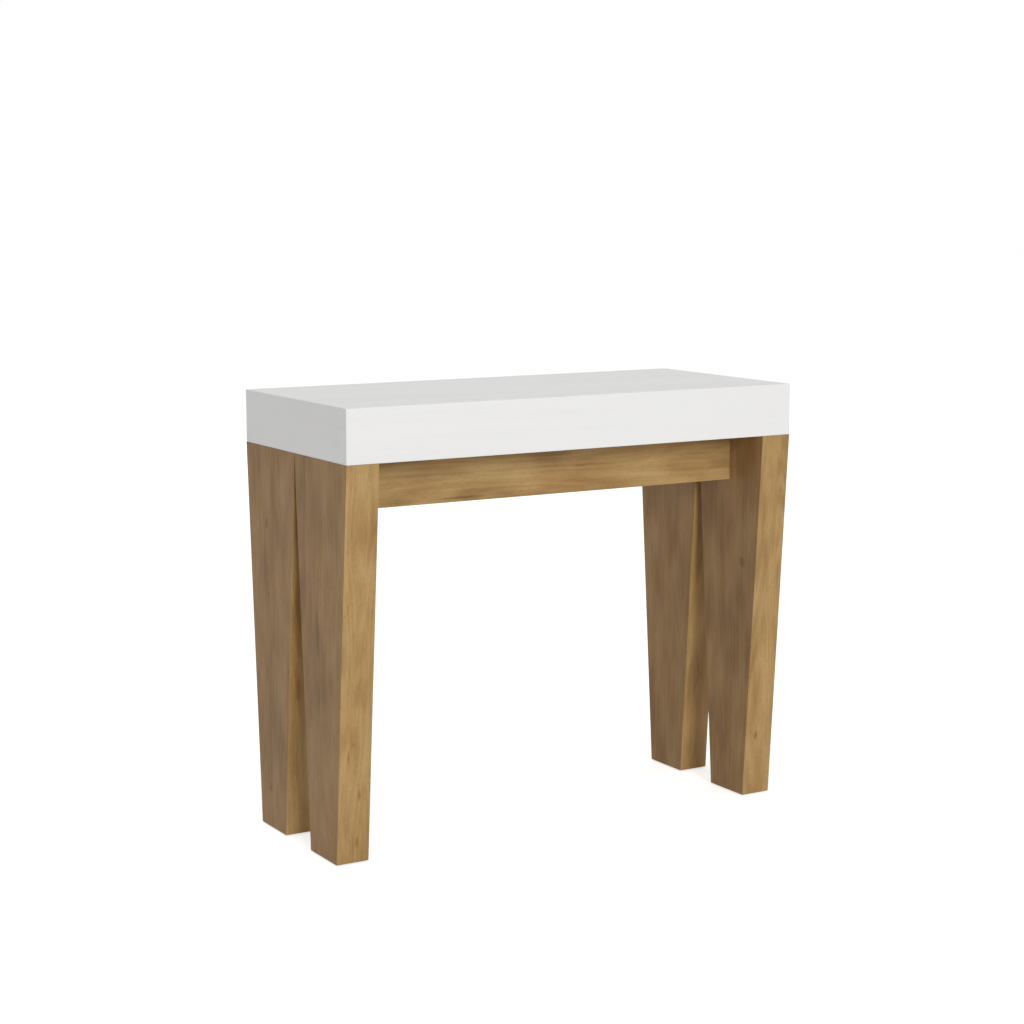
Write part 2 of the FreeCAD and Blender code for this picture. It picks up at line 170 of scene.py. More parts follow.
KNOT_FADE_SHARES = (0.15, 1.0)
OAK_SWAY = dict(width=0.090, length=0.300, detail=1.0, shift=3.7)
OAK_SWAY_REACH = (0.012, 0.012, 0)
OAK_TRUNK = dict(width=0.055, length=0.650, detail=1.0)
OAK_RINGS = 13
HALF_A_RING = 0.5
LATE_WOOD_RANGE = (0.10, 0.48)
OAK_CLOUDS = dict(width=0.042, length=0.120, detail=1.5, shift=163.0)
OAK_STREAKS = dict(width=0.0040, length=0.220, shift=5.1)
OAK_FIBRES = dict(width=0.0008, length=0.050, shift=8.3)
OAK_WARMTH = dict(width=0.050, length=0.160, detail=1.0, shift=11.7)
OAK_WARMTH_RANGE = (0.32, 0.68)
OAK_PORES = dict(width=0.0008, length=0.012, detail=1.0, shift=2.6)
OAK_PORE_RANGE = (0.57, 0.65)
FEWER_LATE_PORES = 0.06
OAK_CLOUD_SHARE = 0.60
OAK_STREAK_SHARE = 0.20
OAK_FIBRE_SHARE = 0.15
OAK_LATE_SHARE = 0.05
OAK_TONES = (
    (0.36, (0.312, 0.183, 0.064, 1)),
    (0.50, (0.418, 0.263, 0.098, 1)),
    (0.64, (0.500, 0.331, 0.138, 1)),
)
OAK_RUDDY = (1.0, 0.945, 0.925, 1)
OAK_PORE_BROWN = (0.200, 0.108, 0.034, 1)
OAK_PORE_STAIN = 0.24
OAK_WORN = (0.520, 0.355, 0.170, 1)
OAK_WEAR = 0.12
# The tint of the painted shade on faces that look sideways.
OAK_PAINTED_SIDE_SHADE = (0.76, 0.71, 0.72, 1)
OAK_KNOT_AND_SHADE_BROWN = (0.110, 0.055, 0.018, 1)
OAK_ROUGHNESS = 0.48
OAK_STREAK_ROUGHNESS = 0.14
OAK_PORE_ROUGHNESS = 0.10
OAK_RELIEF = 0.00012
OAK_FIBRE_RELIEF_SHARE = 0.4
OAK_SHINE = 0.3


def spot(place, centre, reach):
    """1 in the middle of a dark spot, and 0 past its reach. The spots are knots, flecks and spots of
    painted shade.
    """
    apart = place.node("ShaderNodeVectorMath", {"operation": "SUBTRACT"}, {0: place, 1: centre})
    share = place.node("ShaderNodeVectorMath", {"operation": "DIVIDE"}, {0: apart, 1: reach})
    far = place.node("ShaderNodeVectorMath", {"operation": "LENGTH"}, {0: share}, "Value")
    return 1 - between(far, *KNOT_FADE_SHARES)


def oak(name, turn, knots_and_shade):
    """A matt oak face: growth rings, clouds of warmer and cooler brown, open pores, the given knots with
    any spots of painted shade, and a painted shade on faces that look sideways.
    """
    material, start = new_finish(name)
    straight = on_piece(start, turn)
    sway = marks(straight, **OAK_SWAY)
    place = start.node("ShaderNodeVectorMath", {"operation": "MULTIPLY_ADD"},
                       {0: sway, 1: OAK_SWAY_REACH, 2: straight})
    trunk = marks(place, **OAK_TRUNK)
    ring = start.node("ShaderNodeMath", {"operation": "PINGPONG"}, {0: OAK_RINGS * trunk, 1: HALF_A_RING})
    late_wood = between(ring, *LATE_WOOD_RANGE)
    cloud = marks(place, **OAK_CLOUDS)
    streak = marks(place, **OAK_STREAKS)
    fibre = marks(place, **OAK_FIBRES)
    warmth = between(marks(place, **OAK_WARMTH), *OAK_WARMTH_RANGE)
    pore = between(marks(place, **OAK_PORES) - FEWER_LATE_PORES * late_wood, *OAK_PORE_RANGE)
    broad_tone = OAK_CLOUD_SHARE * cloud + OAK_STREAK_SHARE * streak
    tone = broad_tone + OAK_FIBRE_SHARE * fibre + OAK_LATE_SHARE * late_wood
    colour = start.node("ShaderNodeValToRGB", {"stops": OAK_TONES}, {"Fac": tone})
    colour = tinted(warmth, colour, OAK_RUDDY)
    colour = mixed(OAK_PORE_STAIN * pore, colour, OAK_PORE_BROWN)
    colour = mixed(OAK_WEAR * marked_faces(start, "eased"), colour, OAK_WORN)
    # Faces that look sideways are darkened here: this is a painted shade, not a different board.
    colour = tinted(marked_faces(start, "side_board"), colour, OAK_PAINTED_SIDE_SHADE)
    # Knots darken the oak here, and on the apron two of the spots are painted shade under the casing.
    for centre, reach, strength in knots_and_shade:
        colour = mixed(strength * spot(straight, centre, reach), colour, OAK_KNOT_AND_SHADE_BROWN)
    roughness = OAK_ROUGHNESS + OAK_STREAK_ROUGHNESS * streak + OAK_PORE_ROUGHNESS * pore
    height = OAK_FIBRE_RELIEF_SHARE * fibre - pore
    surface(start, colour, roughness, shine=OAK_SHINE, Normal=relief(height, OAK_RELIEF))
    return material


def block(bm, low, high):
    """Adds a box between two corners."""
    corners = bmesh.ops.create_cube(bm, size=1)["verts"]
    bmesh.ops.scale(bm, vec=high - low, verts=corners)
    bmesh.ops.translate(bm, vec=(low + high) / 2, verts=corners)
    return corners


def extruded(bm, face):
    """Extrudes a face, takes the old one away and returns the new one's vertices."""
    grown = bmesh.ops.extrude_face_region(bm, geom=[face])["geom"]
    bmesh.ops.delete(bm, geom=[face], context="FACES_ONLY")
    return [item for item in grown if isinstance(item, bmesh.types.BMVert)]


def ease(bm, edges, radius, segments=ARRIS_SEGMENTS):
    """Rounds edges over and marks the new faces, where a finish shows wear."""
    eased = bm.faces.layers.float.get("eased") or bm.faces.layers.float.new("eased")
    rounded = bmesh.ops.bevel(bm, geom=edges, offset=radius, offset_type="OFFSET", segments=segments,
                              profile=0.5, affect="EDGES", material=-1, clamp_overlap=True)
    for face in rounded["faces"]:
        face[eased] = 1


def as_mesh(bm, name):
    """Makes a mesh of a bmesh, which is then done with."""
    mesh = bpy.data.meshes.new(name)
    bm.to_mesh(mesh)
    bm.free()
    return mesh


def placed(name, data):
    """Puts an object into the scene."""
    thing = bpy.data.objects.new(name, data)
    bpy.context.scene.collection.objects.link(thing)
    return thing


def finished(bm, node, make, finish, body):
    """Makes the piece that stands for a node, with a finish and a body. Its make ends its name."""
    name = f"{node}_{make}"
    mesh = as_mesh(bm, name)
    mesh.materials.append(finish)
    mesh.shade_smooth()
    mesh.set_sharp_from_angle(angle=SMOOTH_UP_TO)
    piece = placed(name, mesh)
    piece.modifiers.new("even_shading", "WEIGHTED_NORMAL").keep_sharp = True
    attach(piece, body)
    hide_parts(node)


# Each knot has its middle, its reach each way and its strength.
LEG_KNOTS = (
    ((0.390, -0.141, 0.441), (0.020, 0.012, 0.016), 0.60),
    ((0.413, -0.158, 0.115), (0.005, 0.020, 0.012), 0.60),
    ((0.441, -0.181, 0.422), (0.003, 0.020, 0.030), 0.40),
    ((-0.411, -0.159, 0.119), (0.004, 0.020, 0.014), 0.45),
    ((-0.413, -0.153, 0.037), (0.005, 0.020, 0.014), 0.45),
    ((-0.433, -0.164, 0.185), (0.003, 0.020, 0.018), 0.40),
    ((-0.450, -0.085, 0.385), (0.020, 0.008, 0.060), 0.55),
    ((-0.450, -0.088, 0.270), (0.020, 0.007, 0.040), 0.45),
    ((-0.450, 0.112, 0.074), (0.020, 0.010, 0.014), 0.50),
    ((-0.450, 0.117, 0.546), (0.020, 0.010, 0.016), 0.50),
)
oak_upright = oak("oak_upright", GRAIN_UP, LEG_KNOTS)
for half in HALVES:
    for side in SIDES:
        node = f"{half}_{side}_leg"
        low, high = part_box(node)
        height = high.z - low.z
        depth = high.y - low.y
        middle = (low + high) / 2
        points = [point.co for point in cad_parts[node].data.vertices]
        sole = [point.y for point in points if point.z < low.z + SAME_PLACE]
        foot_depth = max(sole) - min(sole)
        foot_share = foot_depth / depth
        hollow_share = (foot_depth - 2 * LEG_WALL) / (depth - 2 * LEG_WALL)
        about_middle = Matrix.Translation(-middle)
        bm = bmesh.new()
        corners = block(bm, low, high)
        foot = [corner for corner in corners if corner.co.z < middle.z]
        bmesh.ops.scale(bm, vec=(1, foot_share, 1), space=about_middle, verts=foot)
        arrises = [edge for edge in bm.edges if min(end.co.z for end in edge.verts) < middle.z]
        mouth = max(bm.faces, key=lambda face: face.calc_center_median().z)
        bmesh.ops.inset_region(bm, faces=[mouth], thickness=LEG_WALL, use_even_offset=True)
        bottom = extruded(bm, mouth)
        bmesh.ops.translate(bm, vec=(0, 0, LEG_SOLE - height), verts=bottom)
        bmesh.ops.scale(bm, vec=(1, hollow_share, 1), space=about_middle, verts=bottom)
        ease(bm, arrises, LEG_ARRIS)
        bm.normal_update()
        # The share of painted shade on each face grows as the face turns to look sideways.
        side_board = bm.faces.layers.float.new("side_board")
        for face in bm.faces:
            face[side_board] = face.normal.x ** 2
        finished(bm, node, "box", oak_upright, f"{half}_half")


# Leg blocks and inserts. A beech block is glued into the top of each leg, and two steel inserts
# are driven into it, so that the leg can be bolted to the casing and taken off again.
BEECH_STREAKS = dict(width=0.012, length=0.300, detail=3.0)
BEECH_STREAK_SHARE = 0.7
BEECH_FIBRES = dict(width=0.0008, length=0.050, shift=4.2)
BEECH_FIBRE_SHARE = 0.3
BEECH_TONE_RANGE = (0.35, 0.65)
BEECH_DARK = (0.430, 0.262, 0.135, 1)
BEECH_LIGHT = (0.600, 0.410, 0.240, 1)
BEECH_FLECKS = dict(width=0.0007, length=0.0035, detail=0.0, shift=6.5)
BEECH_FLECK_RANGE = (0.66, 0.74)
BEECH_FLECK_BROWN = (0.300, 0.160, 0.075, 1)
BEECH_FLECK_STAIN = 0.6
BEECH_FLECK_RELIEF_SHARE = 0.5
BEECH_ROUGHNESS = 0.50
BEECH_FIBRE_ROUGHNESS = 0.15
BEECH_RELIEF = 0.00008
ZINC_CLOUDS = dict(width=0.012, length=0.012)
ZINC_CLOUD_RANGE = (0.3, 0.7)
ZINC_DULL = (0.50, 0.51, 0.53, 1)
ZINC_BRIGHT = (0.62, 0.63, 0.65, 1)
ZINC_ROUGHNESS = 0.30
ZINC_CLOUD_ROUGHNESS = 0.10


def beech(name, turn):
    """Planed beech: even streaks with many short dark flecks."""
    material, start = new_finish(name)
    place = on_piece(start, turn)
    streak = marks(place, **BEECH_STREAKS)
    fibre = marks(place, **BEECH_FIBRES)
    fleck = between(marks(place, **BEECH_FLECKS), *BEECH_FLECK_RANGE)
    tone = between(BEECH_STREAK_SHARE * streak + BEECH_FIBRE_SHARE * fibre, *BEECH_TONE_RANGE)
    colour = mixed(tone, BEECH_DARK, BEECH_LIGHT)
    colour = mixed(BEECH_FLECK_STAIN * fleck, colour, BEECH_FLECK_BROWN)
    roughness = BEECH_ROUGHNESS + BEECH_FIBRE_ROUGHNESS * fibre
    height = fibre - BEECH_FLECK_RELIEF_SHARE * fleck
    surface(start, colour, roughness, Normal=relief(height, BEECH_RELIEF))
    return material


def zinc():
    """Bright zinc on steel: a smooth plated skin with clouds in its gloss."""
    material, start = new_finish("zinc_plate")
    place = on_piece(start, GRAIN_UP)
    cloud = marks(place, **ZINC_CLOUDS)
    colour = mixed(between(cloud, *ZINC_CLOUD_RANGE), ZINC_DULL, ZINC_BRIGHT)
    surface(start, colour, ZINC_ROUGHNESS + ZINC_CLOUD_ROUGHNESS * cloud, metallic=1.0)
    return material


def dress(node, finish):
    """Gives a node its finish."""
    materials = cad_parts[node].data.materials
    materials.clear()
    materials.append(finish)


beech_upright = beech("beech_upright", GRAIN_UP)
zinc_plate = zinc()
for half in HALVES:
    dress(f"{half}_leg_top_blocks", beech_upright)
    dress(f"{half}_leg_inserts", zinc_plate)


# Glides. Two round nylon glides are pinned under each leg and keep the board off the floor.
# They are moulded with a rounded rim and a dimple for the pin.
GLIDE_SPACING = 0.050
GLIDE_SPIN_STEPS = 40
GLIDE_OUTLINE_SHARES = (
    (0, 0.35), (0.26, 0.35), (0.32, 0), (0.82, 0), (0.93, 0.15), (1, 0.6), (1, 1), (0, 1))
NYLON_FLOW = dict(width=0.010, length=0.010)
NYLON_FLOW_RANGE = (0.35, 0.65)
NYLON_SHADE = (0.62, 0.61, 0.57, 1)
NYLON_LIGHT = (0.76, 0.75, 0.71, 1)
NYLON_ROUGHNESS = 0.38
NYLON_FLOW_ROUGHNESS = 0.14


def nylon():
    """Natural nylon: milky, with faint flow marks from the mould."""
    material, start = new_finish("moulded_nylon")
    place = on_piece(start, GRAIN_UP)
    flow = marks(place, **NYLON_FLOW)
    colour = mixed(between(flow, *NYLON_FLOW_RANGE), NYLON_SHADE, NYLON_LIGHT)
    surface(start, colour, NYLON_ROUGHNESS + NYLON_FLOW_ROUGHNESS * flow)
    return material


moulded_nylon = nylon()
for half in HALVES:
    node = f"{half}_leg_glides"
    low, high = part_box(node)
    height = high.z - low.z
    radius = (high.y - low.y - GLIDE_SPACING) / 2
    bm = bmesh.new()
    for side in SIDES:
        leg_low, leg_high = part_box(f"{half}_{side}_leg")
        for end in (-1, 1):
            centre = (leg_low + leg_high) / 2 + Vector((0, end * GLIDE_SPACING / 2, 0))
            outline = [bm.verts.new((centre.x + out * radius, centre.y, low.z + up * height))
                       for out, up in GLIDE_OUTLINE_SHARES]
            rims = [bm.edges.new(pair) for pair in zip(outline, outline[1:])]
            bmesh.ops.spin(bm, geom=outline + rims, cent=centre, axis=(0, 0, 1), angle=2 * math.pi,
                           steps=GLIDE_SPIN_STEPS, use_merge=True)
    bmesh.ops.remove_doubles(bm, verts=bm.verts, dist=SAME_PLACE)
    bmesh.ops.recalc_face_normals(bm, faces=bm.faces)
    finished(bm, node, "moulded", moulded_nylon, f"{half}_half")


# Aprons. One oak-faced board on edge joins the two legs of each half, set back under the casing.
# Its grain runs along the table.
APRON_ARRIS = 0.0010
APRON_KNOTS_AND_SHADE = (
    ((-0.182, -0.100, 0.598), (0.060, 0.020, 0.004), 0.55),
    # These two are partly dark grain and partly painted shade, where the casing shades the top of the
    # apron.
    ((-0.300, -0.100, 0.668), (0.080, 0.020, 0.008), 0.30),
    ((0.005, -0.100, 0.662), (0.060, 0.020, 0.006), 0.40),
    ((0.060, -0.100, 0.638), (0.020, 0.020, 0.003), 0.35),
)


def along_grain(knots_and_shade):
    """Knots and spots of painted shade of a board whose grain runs along the table, in that board's turned
    places.
    """
    turn = Matrix.Rotation(math.pi / 2, 3, "Y")
    return [(turn @ Vector(centre), reach[::-1], strength) for centre, reach, strength in knots_and_shade]


oak_level = oak("oak_level", GRAIN_ACROSS, along_grain(APRON_KNOTS_AND_SHADE))
for half in HALVES:
    node = f"{half}_apron"
    bm = bmesh.new()
    block(bm, *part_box(node))
    ease(bm, bm.edges[:], APRON_ARRIS)
    finished(bm, node, "board", oak_level, f"{half}_half")


# Apron brackets. A folded steel angle holds each end of an apron to its leg,
# with two pan head screws into either. The sheet is cut, folded and zinc plated.
SHEET_EDGE = 0.0004
SMALL_EDGE_SEGMENTS = 2
FLAT_WITHIN = math.radians(1)
SHARP_FROM = math.radians(30)
PAN_CROWN_FROM = 0.000015
ROUND_CORNERS = 12
ROUND_WITHIN = 0.0001
CROSS_ARMS = 4
ARM_SHARPNESS = 3
RECESS_REACH_SHARE = 0.72
RECESS_WAIST_SHARE = 0.30
RECESS_DEPTH_SHARE = 0.60
RECESS_FLOOR_SHARE = 0.55


def cad_copy(node):
    """A node's own shape, with its triangles joined to whole flat faces."""
    bm = bmesh.new()
    bm.from_mesh(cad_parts[node].data)
    bmesh.ops.remove_doubles(bm, verts=bm.verts, dist=SAME_PLACE)
    bmesh.ops.dissolve_limit(bm, angle_limit=FLAT_WITHIN, verts=bm.verts, edges=bm.edges)
    return bm


def eased_copy(node, radius, make, finish, body):
    """A piece of a node's own shape, with its sharp edges eased."""
    bm = cad_copy(node)
    sharp = [edge for edge in bm.edges if edge.is_manifold and edge.calc_face_angle() > SHARP_FROM]
    ease(bm, sharp, radius, SMALL_EDGE_SEGMENTS)
    finished(bm, node, make, finish, body)


def is_round(face):
    """True for a face whose corners lie on a circle."""
    centre = face.calc_center_median()
    radii = [(corner.co - centre).length for corner in face.verts]
    return len(radii) >= ROUND_CORNERS and max(radii) - min(radii) < ROUND_WITHIN


def cross_recess(bm, crown):
    """Sinks a cross for a screwdriver into the round face of a screw head."""
    centre = crown.calc_center_median()
    inward = -crown.normal
    turn = crown.normal.to_track_quat("Z", "Y").inverted()
    radius = (crown.verts[0].co - centre).length
    rim = radius * (1 - RECESS_REACH_SHARE)
    bmesh.ops.inset_region(bm, faces=[crown], thickness=rim, use_even_offset=True)
    for corner in crown.verts:
        spoke = corner.co - centre
        level = turn @ spoke
        arm = abs(math.cos(CROSS_ARMS / 2 * math.atan2(level.y, level.x))) ** ARM_SHARPNESS
        corner.co = centre + spoke * (RECESS_WAIST_SHARE + (1 - RECESS_WAIST_SHARE) * arm)
    corners = extruded(bm, crown)
    floor = centre + inward * radius * RECESS_DEPTH_SHARE
    bmesh.ops.translate(bm, vec=floor - centre, verts=corners)
    bmesh.ops.scale(bm, vec=(RECESS_FLOOR_SHARE,) * 3, space=Matrix.Translation(-floor), verts=corners)


def screws(node, make, body, crown_from):
    """Screws of one node, with a cross recess in each crown, a round face larger than the area given."""
    bm = cad_copy(node)
    crowns = [face for face in bm.faces if face.calc_area() > crown_from and is_round(face)]
    for crown in crowns:
        cross_recess(bm, crown)
    finished(bm, node, make, zinc_plate, body)


for half in HALVES:
    eased_copy(f"{half}_apron_brackets", SHEET_EDGE, "folded", zinc_plate, f"{half}_half")
    screws(f"{half}_bracket_screws", "pan", f"{half}_half", PAN_CROWN_FROM)


# Leg plates and bolts. A plywood plate is glued into each corner of the casing, and two flanged bolts
# go down through it into the leg's inserts. The plates are cut from birch ply, so their edges show plies.
PLATE_ARRIS = 0.0008
BOLT_EDGE = 0.0004
PLY_STREAKS = dict(width=0.010, length=0.250, detail=3.0)
PLY_STREAK_RANGE = (0.4, 0.75)
PLY_STREAK_STAIN = 0.5
PLY_FIBRES = dict(width=0.0008, length=0.030, shift=2.2)
PLY_THICKNESS = 0.0015
PLY_SEAM_SHARES = (0.45, 0.55)
PLY_STAIN = 0.55
PLY_PALE = (0.640, 0.470, 0.290, 1)
PLY_DARK = (0.400, 0.245, 0.125, 1)
PLY_ROUGHNESS = 0.52
PLY_FIBRE_ROUGHNESS = 0.14
PLY_RELIEF = 0.00008


def plywood():
    """Birch ply: pale faces, and plies that alternate up the edge."""
    material, start = new_finish("birch_ply")
    place = on_piece(start, GRAIN_ACROSS)
    streak = between(marks(place, **PLY_STREAKS), *PLY_STREAK_RANGE)
    fibre = marks(place, **PLY_FIBRES)
    up = start.node("ShaderNodeSeparateXYZ", {}, {"Vector": place}, "X")
    plies = start.node("ShaderNodeMath", {"operation": "PINGPONG"}, {0: up, 1: PLY_THICKNESS})
    ply = between(plies, *(share * PLY_THICKNESS for share in PLY_SEAM_SHARES))
    colour = mixed(PLY_STAIN * ply + PLY_STREAK_STAIN * streak, PLY_PALE, PLY_DARK)
    roughness = PLY_ROUGHNESS + PLY_FIBRE_ROUGHNESS * fibre
    surface(start, colour, roughness, Normal=relief(fibre, PLY_RELIEF))
    return material


birch_ply = plywood()
for half in HALVES:
    eased_copy(f"{half}_leg_plates", PLATE_ARRIS, "ply", birch_ply, f"{half}_half")
    eased_copy(f"{half}_leg_bolts", BOLT_EDGE, "flanged", zinc_plate, f"{half}_half")


# Casing. Each half has a top, a fascia and two ends of board with a white open-grained ash face,
# mitred and glued so that the face runs round the corners without a visible core.
# The outer corners are eased after gluing, across the mitres.
CASING_ARRIS = 0.0012
MEETING_GAP = 0.0001
MITRE_LINE = 0.00004
CUT_WITHIN = 0.000001
ASH_BANDS = dict(width=0.030, length=0.700)
ASH_BAND_SHARE = 0.6
ASH_FIBRES = dict(width=0.0035, length=0.200, detail=3.0, shift=4.4)
ASH_FIBRE_SHARE = 0.4
ASH_TONE_RANGE = (0.30, 0.55)
ASH_PORES = dict(width=0.0009, length=0.014, detail=1.0, shift=9.1)
ASH_PORE_RANGE = (0.60, 0.74)
ASH_PORE_STAIN = 0.35
ASH_SHADE = (0.818, 0.812, 0.796, 1)
ASH_WHITE = (0.862, 0.857, 0.842, 1)
ASH_ROUGHNESS = 0.42
ASH_FIBRE_ROUGHNESS = 0.12
ASH_PORE_ROUGHNESS = 0.08
ASH_FIBRE_RELIEF_SHARE = 0.3
ASH_RELIEF = 0.00008


def white_ash(name, turn, contrast):
    """White ash: nearly even white, with soft bands and open pores along the grain."""
    material, start = new_finish(name)
    place = on_piece(start, turn)
    band = marks(place, **ASH_BANDS)
    fibre = marks(place, **ASH_FIBRES)
    pore = between(marks(place, **ASH_PORES), *ASH_PORE_RANGE)
    tone = between(ASH_BAND_SHARE * band + ASH_FIBRE_SHARE * fibre, *ASH_TONE_RANGE)
    colour = mixed(contrast * (1 - tone), ASH_WHITE, ASH_SHADE)
    colour = mixed(ASH_PORE_STAIN * pore, colour, ASH_SHADE)
    roughness = ASH_ROUGHNESS + ASH_FIBRE_ROUGHNESS * fibre + ASH_PORE_ROUGHNESS * pore
    height = ASH_FIBRE_RELIEF_SHARE * fibre - pore
    surface(start, colour, roughness, Normal=relief(height, ASH_RELIEF))
    return material


def cut_off(bm, place, away):
    """Cuts off what lies past a plane and closes the cut."""
    everything = bm.verts[:] + bm.edges[:] + bm.faces[:]
    cut = bmesh.ops.bisect_plane(bm, geom=everything, dist=CUT_WITHIN, plane_co=place, plane_no=away,
                                 clear_outer=True)["geom_cut"]
    bmesh.ops.edgeloop_fill(bm, edges=[item for item in cut if isinstance(item, bmesh.types.BMEdge)])


ash_end = white_ash("white_ash_end", GRAIN_INWARD, contrast=0.6)
ASH_FACES = {
    "top_panel": white_ash("white_ash_top", GRAIN_ACROSS, contrast=1.0),
    "fascia": white_ash("white_ash_fascia", GRAIN_ACROSS, contrast=0.45),
    "left_end_panel": ash_end,
    "right_end_panel": ash_end,
}
for half, outward in zip(HALVES, (-1, 1)):
    panels = {panel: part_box(f"{half}_{panel}") for panel in ASH_FACES}
    low = Vector(min(panel[0][axis] for panel in panels.values()) for axis in range(3))
    high = Vector(max(panel[1][axis] for panel in panels.values()) for axis in range(3))
    board = panels["top_panel"][1].z - panels["top_panel"][0].z
    face_y = low.y if outward < 0 else high.y
    split_y = outward * MEETING_GAP / 2
    low.y = min(face_y, split_y)
    high.y = max(face_y, split_y)
    casing = bmesh.new()
    block(casing, low, high)
    outer = [edge for edge in casing.edges
             if any(abs(end.co.y - split_y) > SAME_PLACE for end in edge.verts)]
    ease(casing, outer, CASING_ARRIS)
    front_top = Vector((0, face_y, high.z))
    left_top = Vector((low.x, 0, high.z))
    right_top = Vector((high.x, 0, high.z))
    left_front = Vector((low.x, face_y, 0))
    right_front = Vector((high.x, face_y, 0))
    out = Vector((0, outward, 0))
    up = Vector((0, 0, 1))
    right = Vector((1, 0, 0))
    cuts = {
        "top_panel": [(front_top, out - up), (left_top, -right - up), (right_top, right - up),
                      (Vector((0, 0, high.z - board)), -up)],
        "fascia": [(front_top, up - out), (left_front, -right - out), (right_front, right - out),
                   (Vector((0, face_y - outward * board, 0)), -out)],
        "left_end_panel": [(left_top, up + right), (left_front, out + right),
                           (Vector((low.x + board, 0, 0)), right)],
        "right_end_panel": [(right_top, up - right), (right_front, out - right),
                            (Vector((high.x - board, 0, 0)), -right)],
    }
    for panel, planes in cuts.items():
        bm = casing.copy()
        for place, away in planes:
            cut_off(bm, place - away.normalized() * MITRE_LINE, away)
        bmesh.ops.recalc_face_normals(bm, faces=bm.faces)
        finished(bm, f"{half}_{panel}", "board", ASH_FACES[panel], f"{half}_half")
    casing.free()


# Rail battens. A planed beech batten is glued under the top for each fixed rail member,
# which is then screwed to the batten's side.
BATTEN_ARRIS = 0.0012
beech_inward = beech("beech_inward", GRAIN_INWARD)
for half in HALVES:
    eased_copy(f"{half}_rail_battens", BATTEN_ARRIS, "planed", beech_inward, f"{half}_half")


# Telescopic rails. On each side seven extruded aluminium members run in each other, tongue in channel.
# The first is screwed to the front half and the last to the rear half, and five slide between them.
# Nylon shoes on the tongue's end and in the channel's mouth carry the load.
RAIL_EDGE = 0.0003
SHOE_EDGE = 0.0004
COUNTERSUNK_CROWN_FROM = 0.000020
STAGES = range(1, 6)
DIE_LINES = dict(width=0.0008, length=0.800)
DIE_LINE_SHARE = 0.5
DIE_BANDS = dict(width=0.006, length=0.600, detail=1.0, shift=3.9)
DIE_BAND_SHARE = 0.5
ALUMINIUM_TONE_RANGE = (0.35, 0.65)
ALUMINIUM_SHADE = (0.50, 0.51, 0.52, 1)
ALUMINIUM_LIGHT = (0.64, 0.65, 0.66, 1)
ALUMINIUM_ROUGHNESS = 0.32
DIE_LINE_ROUGHNESS = 0.16
DIE_LINE_RELIEF = 0.00001


def aluminium():
    """Satin anodised extrusion: fine die lines along its length."""
    material, start = new_finish("anodised_aluminium")
    place = on_piece(start, GRAIN_INWARD)
    line = marks(place, **DIE_LINES)
    band = marks(place, **DIE_BANDS)
    tone = between(DIE_LINE_SHARE * line + DIE_BAND_SHARE * band, *ALUMINIUM_TONE_RANGE)
    colour = mixed(tone, ALUMINIUM_SHADE, ALUMINIUM_LIGHT)
    roughness = ALUMINIUM_ROUGHNESS + DIE_LINE_ROUGHNESS * line
    surface(start, colour, roughness, metallic=1.0, Normal=relief(line, DIE_LINE_RELIEF))
    return material


anodised = aluminium()
members = [(f"{half}_{side}_rail", f"{half}_half") for half in HALVES for side in SIDES]
members += [(f"{side}_rail_stage_{stage}", f"{side}_stage_{stage}") for side in SIDES for stage in STAGES]
for node, body in members:
    eased_copy(node, RAIL_EDGE, "extruded", anodised, body)
shoes = [(f"{half}_rail_shoes", f"{half}_half") for half in HALVES]
shoes += [(f"{side}_shoes_stage_{stage}", f"{side}_stage_{stage}") for side in SIDES for stage in STAGES]
for node, body in shoes:
    eased_copy(node, SHOE_EDGE, "moulded", moulded_nylon, body)
for half in HALVES:
    screws(f"{half}_rail_screws", "countersunk", f"{half}_half", COUNTERSUNK_CROWN_FROM)


# Dowels. Three fluted beech dowels are glued into the edge of the front top.
# When the table closes they enter bores in the rear top, which are drilled with a little clearance.
DOWEL_CHAMFER = 0.0010
CHAMFER_SEGMENTS = 1
DOWEL_FLUTES = 12
POINTS_PER_FLUTE = 4
FLUTE_DEPTH = 0.0003
BORE_CLEARANCE = 0.0002


def rod(bm, centre, radius, length):
    """Adds a round rod that lies along the table's depth, and returns its points."""
    lying = Matrix.Translation(centre) @ Matrix.Rotation(math.pi / 2, 4, "X")
    return bmesh.ops.create_cone(bm, cap_ends=True, segments=DOWEL_FLUTES * POINTS_PER_FLUTE,
                                 radius1=radius, radius2=radius, depth=length, matrix=lying)["verts"]


low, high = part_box("alignment_dowels")
middle = (low + high) / 2
radius = (high.z - low.z) / 2
length = high.y - low.y
dowels = bmesh.new()
bores = bmesh.new()
for x in (low.x + radius, middle.x, high.x - radius):
    centre = Vector((x, middle.y, middle.z))
    for point in rod(dowels, centre, radius, length):
        spoke = point.co - centre
        spoke.y = 0
        flute = FLUTE_DEPTH * max(0, math.cos(DOWEL_FLUTES * math.atan2(spoke.z, spoke.x)))
        point.co -= spoke.normalized() * flute
    rod(bores, centre, radius + BORE_CLEARANCE, length + 2 * BORE_CLEARANCE)
rims = [edge for edge in dowels.edges if abs(edge.verts[0].co.y - edge.verts[1].co.y) < SAME_PLACE]
ease(dowels, rims, DOWEL_CHAMFER, CHAMFER_SEGMENTS)
finished(dowels, "alignment_dowels", "fluted", beech_inward, "front_half")
drill = placed("bores", as_mesh(bores, "bores"))
rear_top = bpy.data.objects["rear_top_panel_board"]
boring = rear_top.modifiers.new("boring", "BOOLEAN")
boring.object = drill
bored = rear_top.evaluated_get(bpy.context.evaluated_depsgraph_get())
rear_top.data = bpy.data.meshes.new_from_object(bored)
rear_top.modifiers.remove(boring)
bpy.data.objects.remove(drill)


